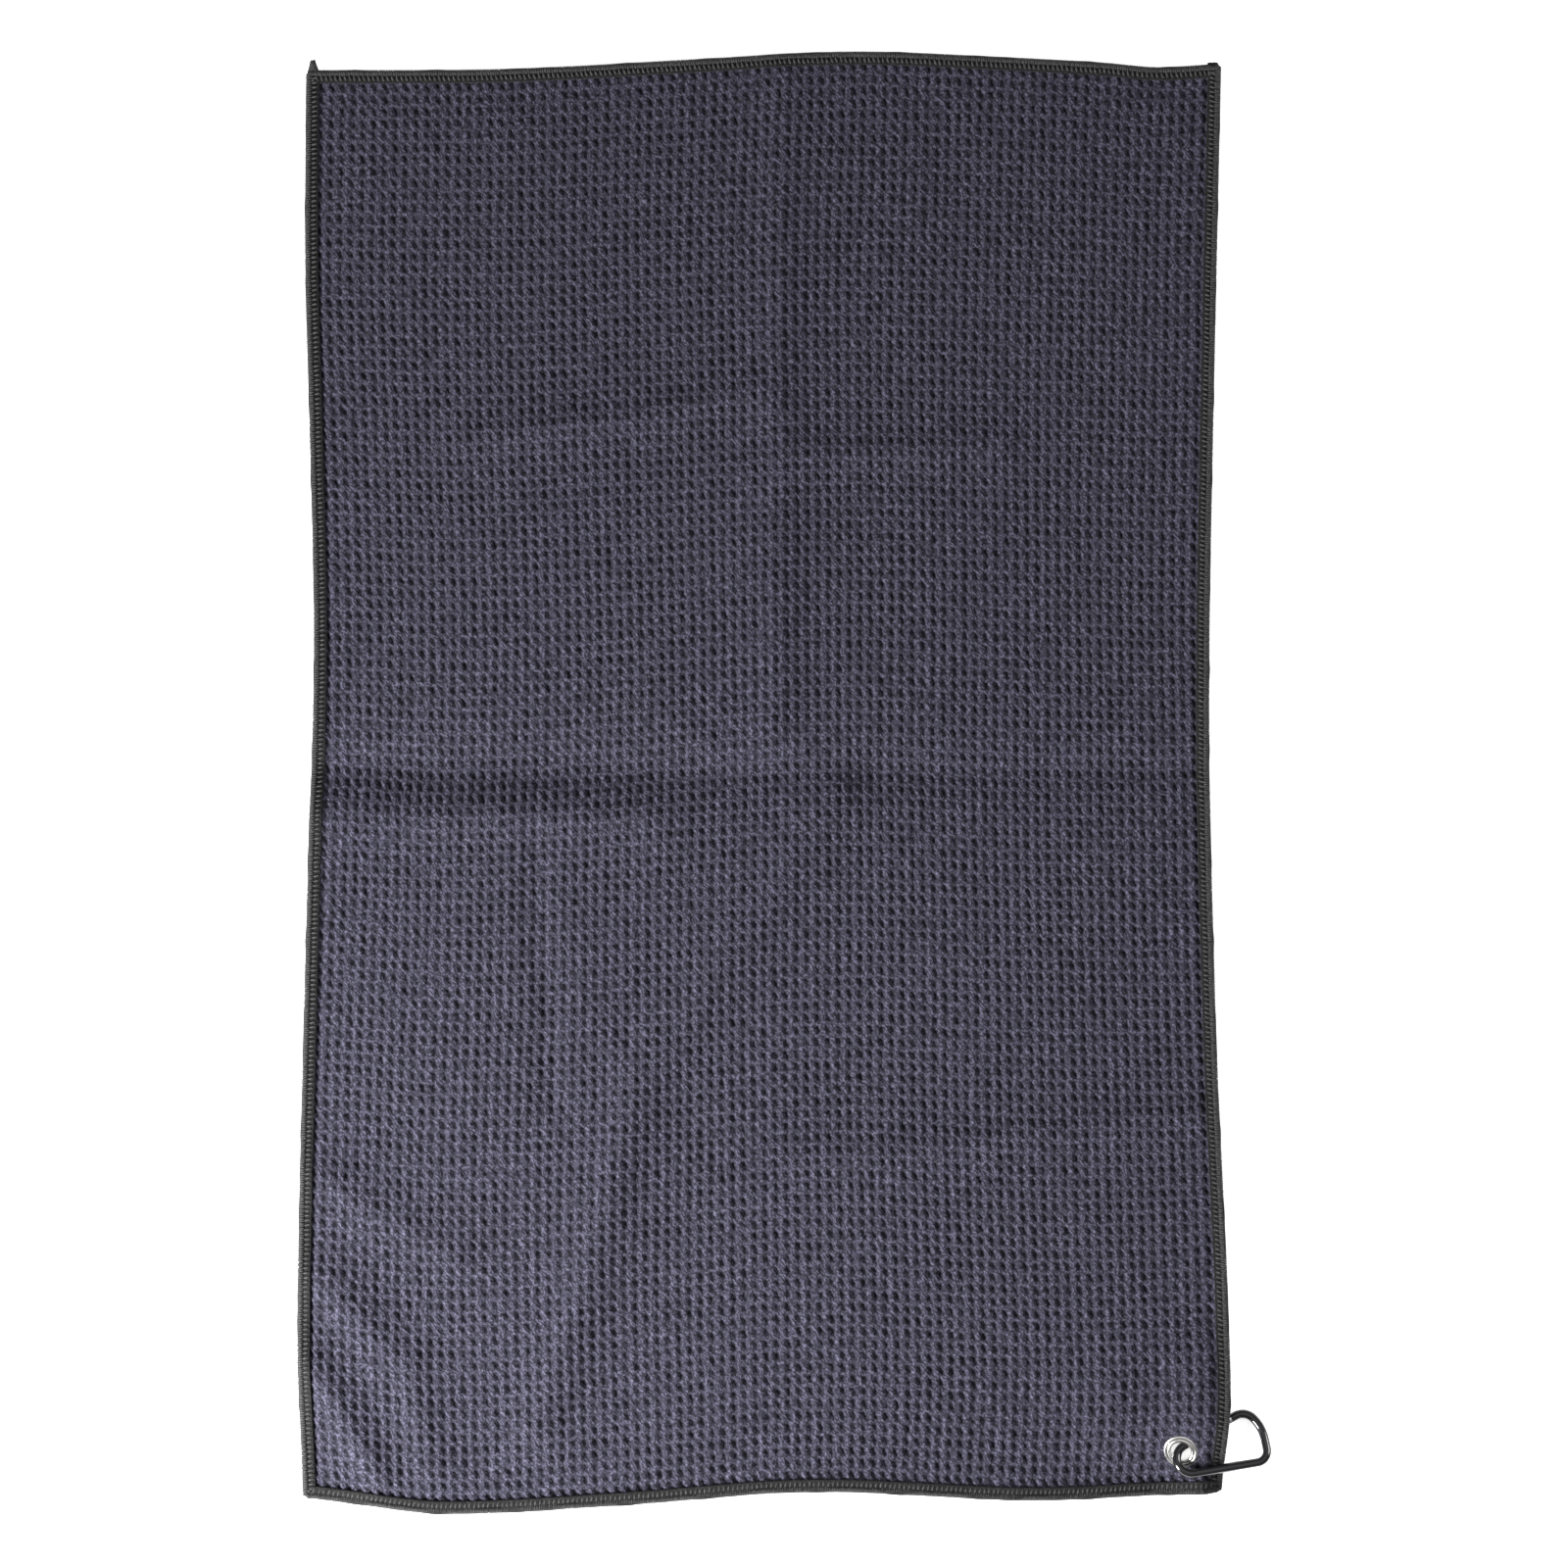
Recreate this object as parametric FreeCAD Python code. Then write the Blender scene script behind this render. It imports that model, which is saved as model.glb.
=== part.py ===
"""Golf towel: waffle cloth, overlocked hem, corner grommet and a sprung clip.

Millimetres.  The towel lies face up with its long side along Y and its thickness along Z.
The grommet corner is at +X -Y; that corner is lifted where the clip passes under it.
"""
import FreeCAD
import Part
import math
import os

V = FreeCAD.Vector
UP = V(0, 0, 1)

# cloth and hem
CLOTH_THICK = 2.2
HEM_WIDTH = 5.2
HEM_INNER_THICK = 2.8
HEM_ROLL_THICK = 3.2
SEAM_GAP = 0.05
EDGE_STATIONS = 61
HEM_STEP = 10.0
ROLL_FACETS = 6
HEM_STEP_LIFTED = 4.0
CORNER_PASSES = 6
# outer edges, each as (distance along the side, distance out from the centre line)
LEFT_EDGE = ((-303.2, -194.8), (-228.0, -197.3), (-44.0, -193.1), (55.0, -190.3),
             (156.0, -192.3), (222.0, -194.0), (301.6, -193.5))
RIGHT_EDGE = ((-301.2, 194.6), (-245.0, 197.7), (-111.0, 192.3), (22.0, 189.2),
              (156.0, 191.0), (304.9, 194.2))
TOP_EDGE = ((-193.5, 301.6), (-110.0, 302.1), (-20.0, 306.8), (40.0, 309.6),
            (106.0, 307.1), (145.0, 304.9), (166.0, 302.9), (180.0, 303.4), (194.2, 304.5))
BOTTOM_EDGE = ((-194.8, -303.2), (-177.0, -305.4), (-135.0, -310.4), (-60.0, -306.7),
               (20.0, -301.0), (115.0, -304.6), (194.6, -301.2))
TAIL_LENGTH = 4.0
TAIL_RADIUS = 1.6
TAIL_SETBACK = 2.4

# grommet
GROMMET_CENTRE = V(177.05, -283.10, 7.39)
GROMMET_AXIS_DEG = 320.9
GROMMET_TILT_DEG = 24.0
BORE_RADIUS = 4.25
BARREL_RADIUS = 4.75
FLANGE_RADIUS = 7.5
CLAMP_HALF = 0.55
LIP_TOP = 1.1
FLANGE_TOP = 1.05
GROOVE_TOP = 0.85
GROOVE_RADIUS = 5.85

# lifted corner, distances from the grommet centre
LIFT_REACH_WEST = 68.0
LIFT_REACH_NORTH = 78.0
LIFT_FLAT = 7.6
LIFT_TURN = 15.0
LIFT_TURN_RISE = 10.2
LIFT_EAST = 19.0
LIFT_EAST_DROP = -5.0
LIFT_EAST_TWIST = 0.5
LIFT_SOUTH = -19.0
LIFT_SOUTH_DROP = -12.0
LIFT_SOFTNESS = 1.0
PATCH_EAST = 27.0
PATCH_SOUTH = 32.0
PATCH_STEPS = 16

# clip, in its own plane: U along the straight spine, W towards the gate
CLIP_CENTRE = V(193.50, -281.52, 6.72)
CLIP_MIDDLE = (19.0, 9.0)
CLIP_HEADING_DEG = 9.5
CLIP_ROLL_DEG = -20.0
CLIP_LENGTH = 38.5
NARROW_RADIUS = 6.2
CORNER_RADIUS = 5.0
SIDE_STRAIGHT = 4.06
CROWN_RADIUS = 16.7
CROWN_SWEEP_DEG = 35.0
NOSE_RADIUS = 6.2
BAR_RADIUS = 1.85

# gate, along the straight line between the narrow end and the nose
GATE_RADIUS = 1.75
HINGE_FROM_BEND = 7.6
GATE_REACH = 16.2
HINGE_SHOULDER = 2.4
TANG_HALF = 0.75
FORK_HALF = 1.08
TANG_RADIUS = 1.3
CAM_RADIUS = 2.2
CAM_DEG = -50.0
CAM_WIDTH = 1.1
RIVET_RADIUS = 0.60
RIVET_CLEARANCE = 0.05
FORK_DEPTH = 2.75
NOSE_GAP = 0.4
NOSE_TONGUE = 1.35
NOSE_TONGUE_HALF = 0.6
NOSE_FORK_HALF = 0.95
NOSE_FORK_DEPTH = 2.3
NOSE_LINE_DEPTH = 0.25
NOSE_LINE_WIDTH = 0.35
NOSE_LINE_BACK = 1.4
LATCH_LENGTH = 2.9
LATCH_WIDTH = 1.2
LATCH_FROM_END = 1.7
LATCH_RECESS = 0.12
BORE_IN_GATE = 1.10
PLUNGER_RADIUS = 1.02
PLUNGER_START = 1.95
PLUNGER_LENGTH = 2.0
PLUNGER_STEM = 0.45
SPRING_RADIUS = 0.75
SPRING_WIRE = 0.14
SPRING_TURNS = 6
SPRING_END = 10.4


def hermite(knots, t):
    """Smooth value at t through (position, value, slope) knots; flat outside them."""
    if t <= knots[0][0]:
        return knots[0][1]
    for (a, va, sa), (b, vb, sb) in zip(knots, knots[1:]):
        if t <= b:
            span = b - a
            s = (t - a) / span
            keep = (1 + 2 * s) * (1 - s) ** 2
            gain = s * s * (3 - 2 * s)
            lead = s * (1 - s) ** 2 * span * sa
            trail = s * s * (s - 1) * span * sb
            return keep * va + gain * vb + lead + trail
    return knots[-1][1]


def smooth_edge(points, t):
    """Offset of an outer edge at t, through its points with matched slopes."""
    last = len(points) - 1
    knots = []
    for i, (pos, value) in enumerate(points):
        before = points[max(i - 1, 0)]
        after = points[min(i + 1, last)]
        knots.append((pos, value, (after[1] - before[1]) / (after[0] - before[0])))
    return hermite(knots, t)


def lift(x, y):
    """Height of the cloth's underside above the ground at (x, y)."""
    dx = x - GROMMET_CENTRE.x
    dy = y - GROMMET_CENTRE.y
    uphill = math.radians(GROMMET_AXIS_DEG + 90)
    steep = math.tan(math.radians(GROMMET_TILT_DEG))
    run_x = hermite(((-LIFT_REACH_WEST, 0, 0), (-LIFT_TURN, -LIFT_TURN_RISE, 0),
                     (-LIFT_FLAT, -LIFT_FLAT, 1), (LIFT_FLAT, LIFT_FLAT, 1),
                     (LIFT_EAST, LIFT_EAST_DROP, -1)), dx)
    run_y = hermite(((LIFT_SOUTH, LIFT_SOUTH_DROP, 0), (-LIFT_FLAT, -LIFT_FLAT, 1),
                     (LIFT_FLAT, LIFT_FLAT, 1), (LIFT_TURN, LIFT_TURN_RISE, 0),
                     (LIFT_REACH_NORTH, 0, 0)), dy)
    run_y *= hermite(((LIFT_FLAT, 1, 0), (LIFT_EAST, 1 + LIFT_EAST_TWIST, 0)), dx)
    fade_x = hermite(((-LIFT_REACH_WEST, 0, 0), (-LIFT_FLAT, 1, 0)), dx)
    fade_y = hermite(((LIFT_FLAT, 1, 0), (LIFT_REACH_NORTH, 0, 0)), dy)
    height = GROMMET_CENTRE.z - CLOTH_THICK / 2
    height += steep * (math.cos(uphill) * run_x + math.sin(uphill) * run_y)
    height = (height + math.hypot(height, LIFT_SOFTNESS)) / 2
    return fade_x * fade_y * height


def spaced(a, b, count):
    return [a + (b - a) * i / (count - 1) for i in range(count)]


def hem_stations(start, end, upright):
    """Positions of the hem's sections: wide apart on the flat, close on the lifted corner."""
    x0, y0, x1, y1 = patch_block()
    first, last = (y0, y1) if upright else (x0, x1)
    places = [start]
    while places[-1] < end:
        lifted = first - HEM_STEP_LIFTED < places[-1] < last
        places.append(places[-1] + (HEM_STEP_LIFTED if lifted else HEM_STEP))
    scale = (end - start) / (places[-1] - start)
    return [start + (place - start) * scale for place in places]


def spline(points, places):
    """Smooth edge through points given at known places along the run."""
    curve = Part.BSplineCurve()
    curve.interpolate(Points=list(points), Parameters=list(places))
    return curve.toShape()


def panel_corner(side, end):
    """Corner of the cloth panel where its side edge meets its end edge."""
    inset = HEM_WIDTH + SEAM_GAP
    x = side[0][1]
    y = end[0][1]
    for _ in range(CORNER_PASSES):
        x = smooth_edge(side, y) - math.copysign(inset, side[0][1])
        y = smooth_edge(end, x) - math.copysign(inset, end[0][1])
    return x, y


def panel_edge(edge, first, last, upright):
    """One edge of the cloth panel, between two of its corners."""
    inset = math.copysign(HEM_WIDTH + SEAM_GAP, edge[0][1])
    along = 1 if upright else 0
    places = spaced(first[along], last[along], EDGE_STATIONS)
    offsets = [smooth_edge(edge, t) - inset for t in places]
    ends = (first[1 - along], last[1 - along])
    offsets = [ends[0]] + offsets[1:-1] + [ends[1]]
    if upright:
        return spline([V(x, y, 0) for x, y in zip(offsets, places)], places)
    return spline([V(x, y, 0) for x, y in zip(places, offsets)], places)


def panel_prism(low, high):
    """Upright prism on the cloth panel's outline, between two levels."""
    sw = panel_corner(LEFT_EDGE, BOTTOM_EDGE)
    se = panel_corner(RIGHT_EDGE, BOTTOM_EDGE)
    ne = panel_corner(RIGHT_EDGE, TOP_EDGE)
    nw = panel_corner(LEFT_EDGE, TOP_EDGE)
    edges = [panel_edge(BOTTOM_EDGE, sw, se, False), panel_edge(RIGHT_EDGE, se, ne, True),
             panel_edge(TOP_EDGE, nw, ne, False), panel_edge(LEFT_EDGE, sw, nw, True)]
    wire = Part.Wire(Part.__sortEdges__(edges))
    return Part.Face(wire).extrude(V(0, 0, high - low)).translated(V(0, 0, low))


def patch_block():
    """Plan box of the lifted corner: (x0, y0, x1, y1)."""
    return (GROMMET_CENTRE.x - LIFT_REACH_WEST, GROMMET_CENTRE.y - PATCH_SOUTH,
            GROMMET_CENTRE.x + PATCH_EAST, GROMMET_CENTRE.y + LIFT_REACH_NORTH)


def lifted_patch():
    """Lifted corner of the cloth, before it is trimmed to the outline."""
    x0, y0, x1, y1 = patch_block()
    sheets = []
    for level in (0, CLOTH_THICK):
        grid = [[V(x, y, level + lift(x, y)) for y in spaced(y0, y1, PATCH_STEPS)]
                for x in spaced(x0, x1, PATCH_STEPS)]
        sheet = Part.BSplineSurface()
        sheet.interpolate(grid)
        sheets.append(sheet)
    low, high = sheets
    u0, u1, v0, v1 = low.bounds()
    faces = [low.toShape(), high.toShape()]
    faces += [Part.makeRuledSurface(low.uIso(u).toShape(), high.uIso(u).toShape())
              for u in (u0, u1)]
    faces += [Part.makeRuledSurface(low.vIso(v).toShape(), high.vIso(v).toShape())
              for v in (v0, v1)]
    shell = Part.makeShell(faces)
    shell.sewShape()
    return outward(Part.makeSolid(shell))


def outward(solid):
    if solid.Volume < 0:
        solid.reverse()
    return solid


def grommet_place():
    heading = math.radians(GROMMET_AXIS_DEG)
    axis = V(math.cos(heading), math.sin(heading), 0)
    return FreeCAD.Placement(GROMMET_CENTRE, FreeCAD.Rotation(axis, GROMMET_TILT_DEG))


def make_cloth():
    x0, y0, x1, y1 = patch_block()
    prism = panel_prism(0, CLOTH_THICK)
    block = Part.makeBox(x1 - x0, y1 - y0, CLOTH_THICK, V(x0, y0, 0))
    tall = panel_prism(-CLOTH_THICK, GROMMET_CENTRE.z * 3)
    cloth = prism.cut(block).fuse(lifted_patch().common(tall)).removeSplitter()
    seat = Part.makeCylinder(BARREL_RADIUS, 8 * CLOTH_THICK, V(0, 0, -4 * CLOTH_THICK))
    for start in (CLAMP_HALF, -CLAMP_HALF - 4 * CLOTH_THICK):
        recess = Part.makeCylinder(FLANGE_RADIUS, 4 * CLOTH_THICK, V(0, 0, start))
        seat = seat.fuse(recess)
    seat.Placement = grommet_place()
    return cloth.cut(seat)


def hem_section(inner, outer, low_in, low_out):
    """Corners of the hem's section, from the panel edge round the rolled outer edge."""
    out = (outer - inner).normalize()
    roll = HEM_ROLL_THICK / 2
    base = inner + UP * low_in
    centre = outer - out * roll + UP * (low_out + roll)
    corners = [base, base + UP * HEM_INNER_THICK]
    for turn in spaced(math.pi / 2, -math.pi / 2, ROLL_FACETS + 1):
        corners.append(centre + out * roll * math.cos(turn) + UP * roll * math.sin(turn))
    return corners


def make_hem(edge, start, end, upright):
    """Hem along one edge; upright hems run in Y, the others in X."""
    inset = math.copysign(HEM_WIDTH, edge[0][1])
    places = hem_stations(start, end, upright)
    sections = []
    for t in places:
        offset = smooth_edge(edge, t)
        if upright:
            outer, inner = V(offset, t, 0), V(offset - inset, t, 0)
        else:
            outer, inner = V(t, offset, 0), V(t, offset - inset, 0)
        sections.append(hem_section(inner, outer, lift(inner.x, inner.y),
                                    lift(outer.x, outer.y)))
    rails = [spline(rail, places) for rail in zip(*sections)]
    faces = [Part.makeRuledSurface(rail, following)
             for rail, following in zip(rails, rails[1:] + rails[:1])]
    faces += [Part.Face(Part.makePolygon(ends + ends[:1])) for ends in (sections[0], sections[-1])]
    shell = Part.makeShell(faces)
    shell.sewShape()
    return outward(Part.makeSolid(shell))


def make_hems():
    left = make_hem(LEFT_EDGE, LEFT_EDGE[0][0], LEFT_EDGE[-1][0], True)
    right = make_hem(RIGHT_EDGE, RIGHT_EDGE[0][0], RIGHT_EDGE[-1][0], True)
    hems = {"hem_left": left, "hem_right": right}
    for name, edge in (("hem_top", TOP_EDGE), ("hem_bottom", BOTTOM_EDGE)):
        depth = math.copysign(HEM_WIDTH, edge[0][1])
        rows = (edge[0][1], edge[0][1] - depth, edge[-1][1], edge[-1][1] - depth)
        west = max(smooth_edge(LEFT_EDGE, y) for y in rows) + HEM_WIDTH + SEAM_GAP
        east = min(smooth_edge(RIGHT_EDGE, y) for y in rows) - HEM_WIDTH - SEAM_GAP
        hems[name] = make_hem(edge, west, east, False)
    return hems


def make_tail():
    """End of the left thread run, standing past the top edge."""
    x = LEFT_EDGE[-1][1] + TAIL_SETBACK
    y = LEFT_EDGE[-1][0]
    end = V(x, y + TAIL_LENGTH, TAIL_RADIUS)
    middle = V(x + TAIL_RADIUS, y + TAIL_LENGTH / 2, TAIL_RADIUS)
    path = Part.Wire([Part.Arc(V(x, y, TAIL_RADIUS), middle, end).toShape()])
    ring = Part.Wire([Part.Circle(V(x, y, TAIL_RADIUS), V(0, 1, 0), TAIL_RADIUS).toShape()])
    body = path.makePipeShell([ring], True, True)
    return outward(body).fuse(Part.makeSphere(TAIL_RADIUS, end))


def line(a, b):
    return Part.LineSegment(V(a[0], 0, a[1]), V(b[0], 0, b[1])).toShape()


def arc(a, mid, b):
    return Part.Arc(V(a[0], 0, a[1]), V(mid[0], 0, mid[1]), V(b[0], 0, b[1])).toShape()


def spin(edges):
    ring = Part.Face(Part.Wire(edges)).revolve(V(0, 0, 0), UP, 360)
    ring.Placement = grommet_place()
    return outward(ring)


def make_grommet():
    """Eyelet with its rolled barrel, and the washer the barrel is rolled over."""
    mid_lip = (BORE_RADIUS + GROOVE_RADIUS) / 2
    mid_flange = (FLANGE_RADIUS + GROOVE_RADIUS) / 2
    rim = (FLANGE_RADIUS, CLAMP_HALF)
    groove = (GROOVE_RADIUS, GROOVE_TOP)
    neck_top = (BORE_RADIUS, CLAMP_HALF)
    neck_low = (BORE_RADIUS, -CLAMP_HALF)
    roll_end = (GROOVE_RADIUS, -GROOVE_TOP)
    barrel_low = (BARREL_RADIUS, -GROOVE_TOP)
    barrel_top = (BARREL_RADIUS, CLAMP_HALF)
    eyelet = spin([arc(rim, (mid_flange, FLANGE_TOP), groove),
                   arc(groove, (mid_lip, LIP_TOP), neck_top),
                   line(neck_top, neck_low),
                   arc(neck_low, (mid_lip, -LIP_TOP), roll_end),
                   line(roll_end, barrel_low), line(barrel_low, barrel_top),
                   line(barrel_top, rim)])
    washer_in = (BARREL_RADIUS, -CLAMP_HALF)
    washer_rim = (FLANGE_RADIUS, -CLAMP_HALF)
    washer = spin([line(washer_in, washer_rim),
                   arc(washer_rim, (mid_flange, -FLANGE_TOP), roll_end),
                   line(roll_end, barrel_low), line(barrel_low, washer_in)])
    return {"grommet_eyelet": eyelet, "grommet_washer": washer}


def clip_frame():
    """Centres of the clip's bends and the gate line, as (u, w) pairs."""
    narrow = (NARROW_RADIUS, NARROW_RADIUS)
    corner = (CLIP_LENGTH - CORNER_RADIUS, CORNER_RADIUS)
    crown = (CLIP_LENGTH - CROWN_RADIUS, CORNER_RADIUS + SIDE_STRAIGHT)
    sweep = math.radians(CROWN_SWEEP_DEG)
    reach = CROWN_RADIUS - NOSE_RADIUS
    nose = (crown[0] + reach * math.cos(sweep), crown[1] + reach * math.sin(sweep))
    du, dw = nose[0] - narrow[0], nose[1] - narrow[1]
    heading = math.atan2(dw, du) + math.asin((NOSE_RADIUS - NARROW_RADIUS) / math.hypot(du, dw))
    return narrow, corner, crown, nose, heading


def around(centre, radius, angle):
    return V(centre[0] + radius * math.cos(angle), centre[1] + radius * math.sin(angle), 0)


def bend(centre, radius, a, b):
    return Part.Arc(around(centre, radius, a), around(centre, radius, (a + b) / 2),
                    around(centre, radius, b)).toShape()


def bar_path():
    """Centre line of the bent bar from the gate hinge round to the nose."""
    narrow, corner, crown, nose, heading = clip_frame()
    square = math.pi / 2
    sweep = math.radians(CROWN_SWEEP_DEG)
    bend_end = around(narrow, NARROW_RADIUS, heading + square)
    along = V(math.cos(heading), math.sin(heading), 0)
    shoulder = bend_end + along * (HINGE_FROM_BEND - HINGE_SHOULDER)
    side = V(CLIP_LENGTH, crown[1], 0)
    return Part.Wire([
        Part.LineSegment(shoulder, bend_end).toShape(),
        bend(narrow, NARROW_RADIUS, heading + square, 3 * square),
        Part.LineSegment(V(narrow[0], 0, 0), V(corner[0], 0, 0)).toShape(),
        bend(corner, CORNER_RADIUS, -square, 0),
        Part.LineSegment(V(CLIP_LENGTH, corner[1], 0), side).toShape(),
        bend(crown, CROWN_RADIUS, 0, sweep),
        bend(nose, NOSE_RADIUS, sweep, heading + square)])


def clip_place():
    """Placement that carries the clip's own plane to where it lies on the corner."""
    turn = FreeCAD.Rotation(V(1, 0, 0), CLIP_ROLL_DEG)
    turn = turn.multiply(FreeCAD.Rotation(UP, CLIP_HEADING_DEG))
    shift = CLIP_CENTRE - turn.multVec(V(CLIP_MIDDLE[0], CLIP_MIDDLE[1], 0))
    return FreeCAD.Placement(shift, turn)


def gate_place():
    """Placement of the gate's own frame: origin on the hinge, X along the gate."""
    narrow, _, _, _, heading = clip_frame()
    hinge = around(narrow, NARROW_RADIUS, heading + math.pi / 2)
    hinge += V(math.cos(heading), math.sin(heading), 0) * HINGE_FROM_BEND
    return FreeCAD.Placement(hinge, FreeCAD.Rotation(UP, math.degrees(heading)))


def slab(x0, x1, y0, y1, half):
    return Part.makeBox(x1 - x0, y1 - y0, 2 * half, V(x0, y0, -half))


def rod(radius, x0, x1):
    return Part.makeCylinder(radius, x1 - x0, V(x0, 0, 0), V(1, 0, 0))


def pin(radius, half):
    return Part.makeCylinder(radius, 2 * half, V(0, 0, -half))


def stadium(half):
    """Latch pin shape across the gate's free end."""
    centre = GATE_REACH - NOSE_GAP - LATCH_FROM_END - LATCH_LENGTH / 2
    reach = (LATCH_LENGTH - LATCH_WIDTH) / 2
    body = slab(centre - reach, centre + reach, -LATCH_WIDTH / 2, LATCH_WIDTH / 2, half)
    for x in (centre - reach, centre + reach):
        body = body.fuse(pin(LATCH_WIDTH / 2, half).translated(V(x, 0, 0)))
    return body.removeSplitter()


def hinge_tang():
    """Flat tang of the body round the rivet, with the cam the plunger rides on."""
    tang = slab(-HINGE_SHOULDER - TANG_HALF, 0, -TANG_RADIUS, TANG_RADIUS, TANG_HALF)
    tang = tang.fuse(pin(TANG_RADIUS, TANG_HALF))
    cam = slab(0, CAM_RADIUS - CAM_WIDTH / 2, -CAM_WIDTH / 2, CAM_WIDTH / 2, TANG_HALF)
    tip = pin(CAM_WIDTH / 2, TANG_HALF).translated(V(CAM_RADIUS - CAM_WIDTH / 2, 0, 0))
    cam = cam.fuse(tip)
    cam.rotate(V(0, 0, 0), UP, CAM_DEG)
    return tang.fuse(cam).cut(pin(RIVET_RADIUS, TANG_HALF))


def nose_end():
    """Tongue of the nose that stands in the gate's fork."""
    tongue_start = GATE_REACH - NOSE_GAP - NOSE_TONGUE
    body = slab(tongue_start, GATE_REACH + NOSE_GAP, -GATE_RADIUS, GATE_RADIUS,
                NOSE_TONGUE_HALF)
    return body.common(rod(BAR_RADIUS, 0, 2 * GATE_REACH))


def nose_line():
    """Thin groove round the bar a little behind the nose."""
    tube = rod(2 * BAR_RADIUS, 0, NOSE_LINE_WIDTH)
    tube = tube.cut(rod(BAR_RADIUS - NOSE_LINE_DEPTH, 0, NOSE_LINE_WIDTH))
    _, _, _, nose, heading = clip_frame()
    angle = heading + math.pi / 2 - NOSE_LINE_BACK / NOSE_RADIUS
    turn = FreeCAD.Rotation(UP, math.degrees(angle) - 90)
    tube.Placement = FreeCAD.Placement(around(nose, NOSE_RADIUS, angle), turn)
    return tube


def straight_to_nose():
    """Straight bar from the nose bend back to the face the gate closes on."""
    _, _, _, nose, heading = clip_frame()
    end = gate_place().inverse().multVec(around(nose, NOSE_RADIUS, heading + math.pi / 2))
    return rod(BAR_RADIUS, GATE_REACH, end.x)


def make_clip_body():
    path = bar_path()
    start = path.Edges[0].valueAt(0)
    narrow, _, _, _, heading = clip_frame()
    along = V(math.cos(heading), math.sin(heading), 0)
    ring = Part.Wire([Part.Circle(start, along, BAR_RADIUS).toShape()])
    body = outward(path.makePipeShell([ring], True, True))
    ends = hinge_tang().fuse(nose_end()).fuse(straight_to_nose())
    ends.Placement = gate_place()
    return body.fuse(ends).cut(nose_line()).removeSplitter()


def make_gate():
    """Gate bar with a fork at the hinge, a fork at the nose and a bore for the spring."""
    gate = rod(GATE_RADIUS, 0, GATE_REACH - NOSE_GAP)
    gate = gate.fuse(pin(GATE_RADIUS, GATE_RADIUS).common(rod(GATE_RADIUS, -GATE_RADIUS,
                                                              GATE_RADIUS)))
    gate = gate.cut(slab(-GATE_RADIUS, FORK_DEPTH, -GATE_RADIUS, GATE_RADIUS, FORK_HALF))
    end = GATE_REACH - NOSE_GAP
    gate = gate.cut(slab(end - NOSE_FORK_DEPTH, end, -GATE_RADIUS, GATE_RADIUS,
                         NOSE_FORK_HALF))
    gate = gate.cut(rod(BORE_IN_GATE, 0, SPRING_END))
    gate = gate.cut(pin(RIVET_RADIUS + RIVET_CLEARANCE, GATE_RADIUS))
    return gate.cut(stadium(GATE_RADIUS))


def make_spring():
    length = SPRING_END - PLUNGER_START - PLUNGER_LENGTH - 2 * SPRING_WIRE
    helix = Part.makeHelix(length / SPRING_TURNS, length, SPRING_RADIUS)
    ring = Part.Wire([Part.Circle(V(SPRING_RADIUS, 0, 0), V(0, 1, 0), SPRING_WIRE).toShape()])
    coil = outward(Part.Wire(helix.Edges).makePipeShell([ring], True, True))
    start = PLUNGER_START + PLUNGER_LENGTH + SPRING_WIRE
    coil.Placement = FreeCAD.Placement(V(start, 0, 0), FreeCAD.Rotation(V(0, 1, 0), 90))
    return coil


def make_clip():
    head = PLUNGER_START + PLUNGER_LENGTH
    plunger = rod(PLUNGER_RADIUS, PLUNGER_START, head)
    plunger = plunger.fuse(rod(PLUNGER_STEM, head, head + PLUNGER_LENGTH))
    latch = stadium(GATE_RADIUS - LATCH_RECESS)
    in_gate = {"clip_gate": make_gate(), "gate_rivet": pin(RIVET_RADIUS, GATE_RADIUS),
               "gate_latch_pin": latch, "gate_plunger": plunger, "gate_spring": make_spring()}
    shapes = {"clip_body": make_clip_body()}
    for name, shape in in_gate.items():
        shapes[name] = shape
        shape.Placement = gate_place().multiply(shape.Placement)
    for shape in shapes.values():
        shape.Placement = clip_place().multiply(shape.Placement)
    return shapes


def main():
    shapes = {"towel_cloth": make_cloth()}
    shapes.update(make_hems())
    shapes["hem_thread_tail"] = make_tail()
    shapes.update(make_grommet())
    shapes.update(make_clip())
    whole = Part.makeCompound(list(shapes.values())).optimalBoundingBox()
    centre = V(-whole.Center.x, -whole.Center.y, -whole.ZMin)
    os.makedirs("parts", exist_ok=True)
    for name, shape in shapes.items():
        shape.translate(centre)
        shape.exportStep("parts/" + name + ".step")


main()
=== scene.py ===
"""Looks of the golf towel: waffle cloth, overlocked hem, nickel grommet and black clip."""
import math
import bpy
import numpy as np
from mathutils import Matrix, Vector
from mathutils.bvhtree import BVHTree


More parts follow.
